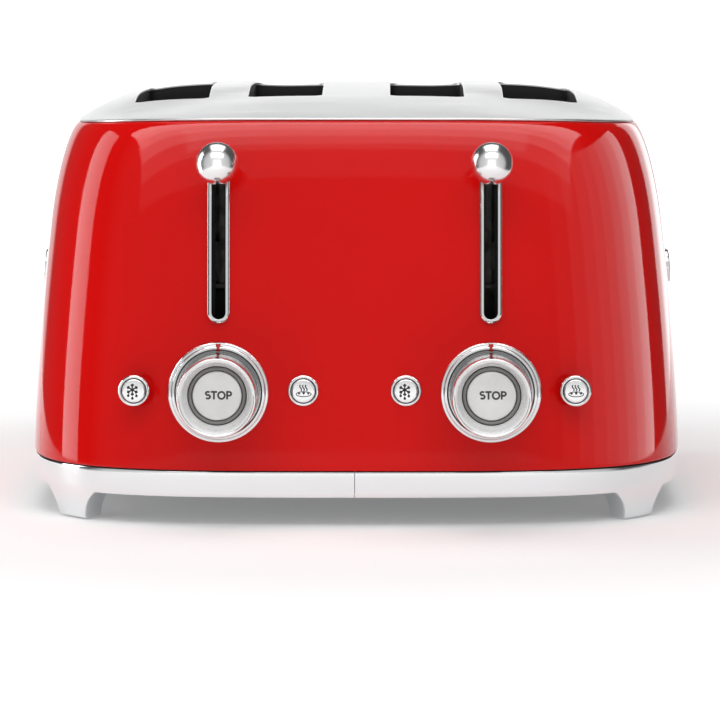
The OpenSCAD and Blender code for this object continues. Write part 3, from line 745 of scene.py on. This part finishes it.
def stop_legend(x, z, forward):
    """The word on a stop control, in plain round-cornered strokes."""
    w, d = 0.46, 0.09
    s_path = np.concatenate([arc(0, 0.88, 0.95, 0.78, 35, 268, 16), arc(0, -0.72, 1.05, 0.86, 88, -145, 18)])
    o_path = np.concatenate([arc(0, 0, 1.6, 1.66, 0, 352, 36), [[1.6, 0.0]]])
    p_path = np.concatenate([[[-0.95, -1.98]], [[-0.95, 1.62]], arc(0, 0.72, 1.0, 0.9, 90, -90, 14),
                             [[-0.95, -0.18]]])
    parts = [stroke(s_path, w, d, (x - 4.75, z), forward),
             stroke([[-1.5, 1.62], [1.5, 1.62]], w, d, (x - 1.85, z), forward),
             stroke([[0, 1.62], [0, -1.98]], w, d, (x - 1.85, z), forward + 0.001),
             stroke(o_path, w, d, (x + 1.75, z - 0.05), forward),
             stroke(p_path, w, d, (x + 5.4, z), forward)]
    return join_meshes(*parts)


def snow_icon(x, z, forward):
    """Snowflake above three drops, the usual sign for thawing."""
    parts = []
    for k in range(6):
        a = math.pi / 2 + k * math.pi / 3
        u = np.array([math.cos(a), math.sin(a)])
        n = np.array([-u[1], u[0]])
        parts.append(stroke([u * 0.0, u * 2.4], 0.34, 0.12, (x, z), forward))
        head = [u * 3.0, u * 2.3 + n * 0.95, u * 1.5 + n * 0.34, u * 1.5 - n * 0.34, u * 2.3 - n * 0.95]
        parts.append(blot(head, 0.121, (x, z), forward))
    for dx, dz in ((-1.95, -2.75), (0.0, -4.05), (1.95, -2.9)):
        drop = np.concatenate([arc(0, -0.15, 0.62, 0.62, 150, 390, 14), [[0.0, 0.95]]])
        parts.append(blot(drop, 0.12, (x + dx, z + dz), forward))
    return join_meshes(*parts)


def steam_icon(x, z, forward):
    """Three wisps of steam over a bun with three cuts, the usual sign for warming again."""
    parts = []
    for k in (-1, 0, 1):
        s = np.linspace(0, 1, 22)
        wisp = np.c_[k * 1.35 + 0.34 * np.sin(s * 2 * math.pi) - 0.3 * (s - 0.5), -0.55 + 2.9 * s]
        parts.append(stroke(wisp, 0.28, 0.12, (x - 0.2, z), forward))
    bun = np.concatenate([arc(0, 0, 3.6, 1.18, 0, 350, 44), [[3.6, 0.0]]])
    parts.append(stroke(bun, 0.2, 0.12, (x - 0.1, z - 2.1), forward))
    for dx in (-2.2, 0.0, 2.2):
        high = 1.0 if dx == 0 else 0.72
        mark = [[dx - 0.75, high - 0.15], [dx, high], [dx + 0.75, high - 0.15], [dx + 0.35, 0.05],
                [dx, -0.25], [dx - 0.35, 0.05]]
        parts.append(blot(mark[::-1], 0.121, (x - 0.1, z - 2.1), forward))
    return join_meshes(*parts)


def make_surround(side, x):
    turned(f"dial_surround_{side}_ring", x, DIAL_Z, SURROUND, control_chrome, "root",
           [f"dial_surround_{side}"], 0.28)


def make_dial(side, x):
    """Dished dial: a bowl round the STOP button made near-white and matte as a painted reflection, and an outer
    wall darkened to stand for a reflection.
    """
    dial = [[14.2, DIAL_FACE - 6], [14.2, STOP_FRONT - 0.6], [14.6, STOP_FRONT - 0.25],
            [15.7, DIAL_FRONT - 8.2], [16.6, DIAL_FRONT - 3.2], [17.3, DIAL_FRONT - 0.75],
            [17.75, DIAL_FRONT - 0.25], [18.25, DIAL_FRONT], [18.75, DIAL_FRONT - 0.3],
            [19.15, DIAL_FRONT - 1.5], [19.7, DIAL_FACE + 7.4], [19.7, DIAL_FACE + 3.9],
            [19.4, DIAL_FACE + 3.7], [16.0, DIAL_FACE + 3.75]]
    knob = turned(f"browning_dial_{side}_knob", x, DIAL_Z, dial, dial_chrome, f"dial_{side}",
                  [f"browning_dial_{side}"], 0.5)
    knob.data.materials.append(bowl_painted_reflection)
    knob.data.materials.append(shade_chrome)
    for face in knob.data.polygons:
        away = math.hypot(face.center.x / MM - x, face.center.z / MM - DIAL_Z)
        out = -face.center.y / MM
        # painted reflection: the dish faces take the near-white bowl, the outer wall the dark plating
        if away < 17.6 and out > STOP_FRONT - 0.8:
            face.material_index = 1
        elif away > 19.0 and out < DIAL_FRONT - 1.6:
            face.material_index = 2


def make_stop(side, x):
    """Dark fixed housing and the STOP button inside it."""
    ring = [[12.25, 156], [12.25, STOP_FRONT], [12.6, STOP_FRONT + 0.35], [13.35, STOP_FRONT + 0.35],
            [13.78, STOP_FRONT - 0.05], [13.8, 156]]
    turned(f"stop_housing_{side}_ring", x, DIAL_Z, ring, ring_black, "root", [f"stop_housing_{side}"],
           0.15)
    cap = [[0, 175], [11.9, 175], [12.0, STOP_FRONT - 0.9], [11.8, STOP_FRONT - 0.45],
           [11.2, STOP_FRONT - 0.25], [7, STOP_FRONT - 0.36], [0, STOP_FRONT - 0.42]]
    turned(f"stop_button_{side}_cap", x, DIAL_Z, cap, cap_silver, f"stop_{side}", [f"stop_button_{side}"],
           0.25)
    strokes = stop_legend(x + 0.35, DIAL_Z + 0.3, STOP_FRONT - 0.42)
    word = make_object(f"stop_legend_{side}", *strokes, legend_ink, sharp=30, flip=None)
    place(word, f"stop_{side}")


def make_index(side, x):
    """Red mark on top of the surround, waisted in the middle, lying on the surround's own section."""
    rows, faces = [], []
    reach = np.linspace(20.1, 23.7, 26)
    half = np.interp(reach, [20.1, 20.6, 21.7, 22.0, 23.1, 23.7], [1.1, 1.2, 0.6, 0.6, 1.2, 1.1])
    near = [np.interp(reach + d, [p[0] for p in SURROUND[2:7]], [p[1] for p in SURROUND[2:7]])
            for d in (-0.3, -0.15, 0, 0.15, 0.3)]
    depth = np.max(near, axis=0)
    for lift in (-0.4, 0.16):
        for sx in (-1, 1):
            rows.append(np.c_[x + sx * half, -(depth + lift), DIAL_Z + reach])
    n = len(reach)
    for p, q in ((0, 1), (1, 3), (3, 2), (2, 0)):
        faces += [(p * n + i, p * n + i + 1, q * n + i + 1, q * n + i) for i in range(n - 1)]
    faces += [(0, n, 3 * n, 2 * n), (n - 1, 3 * n - 1, 4 * n - 1, 2 * n - 1)]
    mark = make_object(f"dial_index_{side}", np.concatenate(rows), faces, index_red, sharp=40, flip=None)
    place(mark, "root")


def make_buttons(side, s):
    for kind, k, icon, nudge in (("defrost", -1, snow_icon, 0.6), ("reheat", 1, steam_icon, -0.3)):
        x = s * LEVER_X + k * BUTTON_X
        cap = [[0, BUTTON_FACE - 2], [5.72, BUTTON_FACE - 2], [5.75, BUTTON_FACE + 0.9],
               [5.55, BUTTON_FACE + 1.35], [5.0, BUTTON_FACE + 1.6], [0, BUTTON_FACE + 1.64]]
        turned(f"{kind}_button_{side}_cap", x, BUTTON_Z, cap, dial_chrome, f"{kind}_{side}",
               [f"{kind}_button_{side}"], 0.3, 96)
        strokes = icon(x - nudge, BUTTON_Z + 0.6, BUTTON_FACE + 1.58)
        sign = make_object(f"{kind}_icon_{side}", *strokes, icon_ink, sharp=30, flip=None)
        place(sign, f"{kind}_{side}")


def make_bezel_rings():
    rings = []
    for _, s in SIDES:
        for k in (-1, 1):
            outline = soften([[6.05, BUTTON_FACE - 4.5], [6.05, BUTTON_FACE + 0.9],
                              [6.5, BUTTON_FACE + 1.4], [7.05, BUTTON_FACE + 1.35],
                              [7.55, BUTTON_FACE + 0.7], [7.6, BUTTON_FACE - 4.5]], 0.35)
            rings.append(lathe(outline, s * LEVER_X + k * BUTTON_X, BUTTON_Z, 96))
    obj = make_object("button_rings", *join_meshes(*rings), control_chrome, sharp=50, flip=None)
    place(obj, "root", ["button_bezels"])


def make_lever_bezel(side, s):
    """Slot bezel: a rounded frame that follows the lean of the front."""
    x = s * LEVER_X
    section = soften([[5.3, -3.0], [5.45, -0.3], [5.3, 0.45], [4.45, 1.3], [3.45, 1.3], [3.25, 0.9],
                      [3.25, -3.5]], 0.22, 4)
    low, high, half = LEVER_BEZEL
    loop = upright_stadium(0, low, high, half, 20)
    centre_hi, centre_lo = high - half, low + half
    spine, outs = [], []
    for px, pz in loop:
        cz = min(max(pz, centre_lo), centre_hi)
        if pz > centre_hi or pz < centre_lo:
            n = unit(np.array([[px, pz - cz]]))[0]
        else:
            n = np.array([math.copysign(1.0, px), 0.0])
        spine.append((0.0, cz))
        outs.append(n)
    dense_s, dense_o = [], []
    count = len(spine)
    for i in range(count):
        j = (i + 1) % count
        steps = max(1, int(abs(spine[j][1] - spine[i][1]) / 1.5))
        for q in range(steps):
            f = q / steps
            dense_s.append((0.0, spine[i][1] * (1 - f) + spine[j][1] * f))
            dense_o.append(outs[i] if steps > 1 or q == 0 else outs[j])
    spine, outs = np.array(dense_s), np.array(dense_o)
    rows = []
    for off, lift in section:
        p = spine + outs * off
        rows.append(np.c_[x + p[:, 0], front_y(np.clip(p[:, 1], 98, 187.5)) - lift, p[:, 1]])
    obj = make_object(f"lever_bezel_{side}_frame", np.concatenate(rows), ring_faces(len(rows), len(spine)),
                      control_chrome, sharp=50, flip=None)
    place(obj, "root", [f"lever_bezel_{side}"])


def make_knob(side, s):
    """Ball on its neck."""
    a = np.linspace(0, math.pi - 0.36, 60)
    ball = np.c_[BALL_R * np.sin(a), -BALL_Y + BALL_R * np.cos(a)]
    ball[0, 0] = 0
    neck = [[3.4, -BALL_Y - 9.75], [3.4, -ARM_Y + 0.1], [3.1, -ARM_Y], [0, -ARM_Y]]
    outline = np.concatenate([ball, neck])
    v, f = lathe(outline, s * LEVER_X, BALL_Z, 128)
    obj = make_object(f"lever_knob_{side}_ball", v, f, ball_chrome, sharp=40, flip=None)
    place(obj, f"lever_{side}", [f"lever_knob_{side}"])


def make_badge(side, s):
    """Plain chrome lozenge with a raised rim, on each side of the casing."""
    def ring(half, lift, steps=40):
        loop = []
        for sy in (1, -1):
            for ang in np.linspace(0, math.pi, steps):
                loop.append((half * math.cos(ang) * sy, sy * (15 + half * math.sin(ang))))
        return np.array(loop), lift
    rows = []
    for half, lift in ((8.3, 0.15), (8.5, 0.4), (8.5, 2.2), (8.35, 2.65), (8.0, 2.9), (7.5, 2.9), (7.15, 2.7),
                       (6.95, 2.3), (6.5, 2.2), (3.0, 2.32)):
        loop, h = ring(half, lift)
        rows.append(np.c_[loop, np.full(len(loop), h)])
    pts = np.concatenate(rows)
    n = len(rows[0])
    faces = [tuple(int(k) for k in q) for q in ring_faces(len(rows), n)]
    faces.append(tuple(range((len(rows) - 1) * n, len(rows) * n)))
    faces.append(tuple(range(n))[::-1])
    tilt = math.radians(4.5)
    up, out = pts[:, 0], pts[:, 2]
    at = HALF_W - float(wall_inset(BADGE_Z))
    world = np.c_[s * (at + out * math.cos(tilt) - up * math.sin(tilt)), MID_Y + pts[:, 1],
                  BADGE_Z + up * math.cos(tilt) + out * math.sin(tilt)]
    obj = make_object(f"side_badge_{side}_plate", world, faces, control_chrome, sharp=40, flip=None)
    place(obj, "root", [f"side_badge_{side}"])


for side, sign in SIDES:
    make_surround(side, sign * LEVER_X)
    make_dial(side, sign * LEVER_X)
    make_stop(side, sign * LEVER_X)
    make_index(side, sign * LEVER_X)
    make_buttons(side, sign)
    make_lever_bezel(side, sign)
    make_knob(side, sign)
    make_badge(side, sign)
    # painted shade: the lever slot guard, black plastic, is made near-black for the shade in the slot
    nodes[f"slot_guard_{side}"].data.materials[0] = painted_shade_black
make_bezel_rings()


# ---------------------------------------------------------------- floor, light and camera
def flat_stage(name, verts, material):
    mesh = bpy.data.meshes.new(name)
    mesh.from_pydata(verts, [], [(0, 1, 2, 3)])
    mesh.materials.append(material)
    obj = bpy.data.objects.new(name, mesh)
    bpy.context.scene.collection.objects.link(obj)
    return obj


floor_mat, floor_nt, floor_bsdf = new_material("floor")
floor_bsdf.inputs["Base Color"].default_value = (0.93, 0.93, 0.93, 1)
floor_bsdf.inputs["Roughness"].default_value = 0.7
floor_bsdf.inputs["Specular IOR Level"].default_value = 0.1
span = floor_nt.nodes.new("ShaderNodeVectorMath")
span.operation = "LENGTH"
floor_nt.links.new(coords(floor_nt), span.inputs[0])
# the floor's own glow: dim near the part, white further off
glow = spread(floor_nt, span.outputs["Value"], 0.13, 1.0, 0.33, 1.3)
floor_nt.links.new(glow, floor_bsdf.inputs["Emission Strength"])
floor_bsdf.inputs["Emission Color"].default_value = (1, 1, 1, 1)
flat_stage("floor", [(-0.36, -1.0, 0), (0.36, -1.0, 0), (6.2, 60, 0), (-6.2, 60, 0)], floor_mat)


def softbox(name, at, aim, width, height, power, only=None):
    """Area light. With only, it adds gloss to that collection alone, and no diffuse light to anything."""
    light = bpy.data.lights.new(name, "AREA")
    light.shape, light.size, light.size_y, light.energy = "RECTANGLE", width, height, power
    obj = bpy.data.objects.new(name, light)
    obj.location = at
    obj.rotation_euler = (Vector(aim) - Vector(at)).to_track_quat("-Z", "Y").to_euler()
    if only:
        obj.visible_diffuse = False
        obj.light_linking.receiver_collection = only
    obj.visible_camera = False
    bpy.context.scene.collection.objects.link(obj)
    return obj


# collections for the lights that add gloss to one piece only
enamelled = bpy.data.collections.new("enamelled")
enamelled.objects.link(bpy.data.objects["casing_shell"])
softbox("overhead", (0, 0.15, 1.6), (0, 0.1, 0), 1.3, 1.3, 9.5)
softbox("key", (0, -1.3, 1.5), (0, 0, 0.1), 2.0, 0.8, 11)
softbox("strip_left", (-1.45, 0.33, 0.3), (0, 0, 0.2), 0.5, 1.5, 13)
for k in range(6):      # soft fall-off of light over the shoulder, for the enamel only
    up = math.radians(27 + 11 * k)
    at = (0, -0.15 - 1.8 * math.cos(up), 0.19 + 1.8 * math.sin(up))
    softbox(f"fade_{k}", at, (0, -0.15, 0.19), 5.0, 0.36, (4, 12, 30, 48, 62, 70)[k], only=enamelled)
for k in range(8):      # gloss that grows round the right-hand corner
    turn = math.radians(44 + 10.8 * k)
    at = (0.1 + 1.6 * math.sin(turn), -0.1 - 1.6 * math.cos(turn), 0.3)
    softbox(f"right_{k}", at, (0.1, -0.1, 0.3), 0.31, 1.5, 0.5 + 0.95 * k, only=enamelled)
softbox("rim_right", (0.95, 1.85, 0.3), (0.16, -0.1, 0.2), 0.73, 1.6, 6, only=enamelled)

balls = bpy.data.collections.new("balls")
for side, _ in SIDES:
    balls.objects.link(bpy.data.objects[f"lever_knob_{side}_ball"])
softbox("ball_front", (0, -2.0, 0.2), (0, 0, 0.2), 1.5, 1.5, 4, only=balls)
panelled = bpy.data.collections.new("panelled")
panelled.objects.link(bpy.data.objects["top_panel_sheet"])
softbox("panel_sheen", (0, 1.9, 0.62), (0, 0, 0.2), 2.6, 0.9, 5.5, only=panelled)

world = bpy.data.worlds.new("studio")
bpy.context.scene.world = world
world.use_nodes = True
wt = world.node_tree
back = next(n for n in wt.nodes if n.type == "BACKGROUND")
where = wt.nodes.new("ShaderNodeTexCoord")
parts = wt.nodes.new("ShaderNodeSeparateXYZ")
wt.links.new(where.outputs["Generated"], parts.inputs["Vector"])
ramp = wt.nodes.new("ShaderNodeValToRGB")
half_turn = wt.nodes.new("ShaderNodeMapRange")
half_turn.inputs["From Min"].default_value = -1
half_turn.inputs["From Max"].default_value = 1
wt.links.new(parts.outputs["Y"], half_turn.inputs["Value"])
wt.links.new(half_turn.outputs["Result"], ramp.inputs["Fac"])
ramp.color_ramp.elements[0].position = 0.0
ramp.color_ramp.elements[0].color = (0.8, 0.8, 0.8, 1)
ramp.color_ramp.elements[1].position = 1.0
ramp.color_ramp.elements[1].color = (0.85, 0.85, 0.85, 1)
for at, level in ((0.34, 0.55), (0.46, 0.08), (0.952, 0.08), (0.965, 0.9)):
    e = ramp.color_ramp.elements.new(at)
    e.color = (level, level, level, 1)
rays = wt.nodes.new("ShaderNodeLightPath")
plain = wt.nodes.new("ShaderNodeBackground")
plain.inputs["Color"].default_value = (1, 1, 1, 1)
mixer = wt.nodes.new("ShaderNodeMixShader")
out = next(n for n in wt.nodes if n.type == "OUTPUT_WORLD")
wt.links.new(ramp.outputs["Color"], back.inputs["Color"])
wt.links.new(rays.outputs["Is Camera Ray"], mixer.inputs["Fac"])
wt.links.new(back.outputs["Background"], mixer.inputs[1])
wt.links.new(plain.outputs["Background"], mixer.inputs[2])
wt.links.new(mixer.outputs["Shader"], out.inputs["Surface"])

scene = bpy.context.scene
scene.view_settings.view_transform = "Standard"
scene.view_settings.look = "None"
cam_data = bpy.data.cameras.new("camera")
cam_data.sensor_width = 36
cam_data.lens = 226.4
cam_data.clip_start, cam_data.clip_end = 0.05, 100
camera = bpy.data.objects.new("camera", cam_data)
camera.location = (0.0169, -2.3358, 0.2648)
camera.rotation_euler = (math.pi / 2 - 0.0845, 0, 0.0066)
scene.collection.objects.link(camera)
scene.camera = camera

bpy.data.materials.remove(blank)
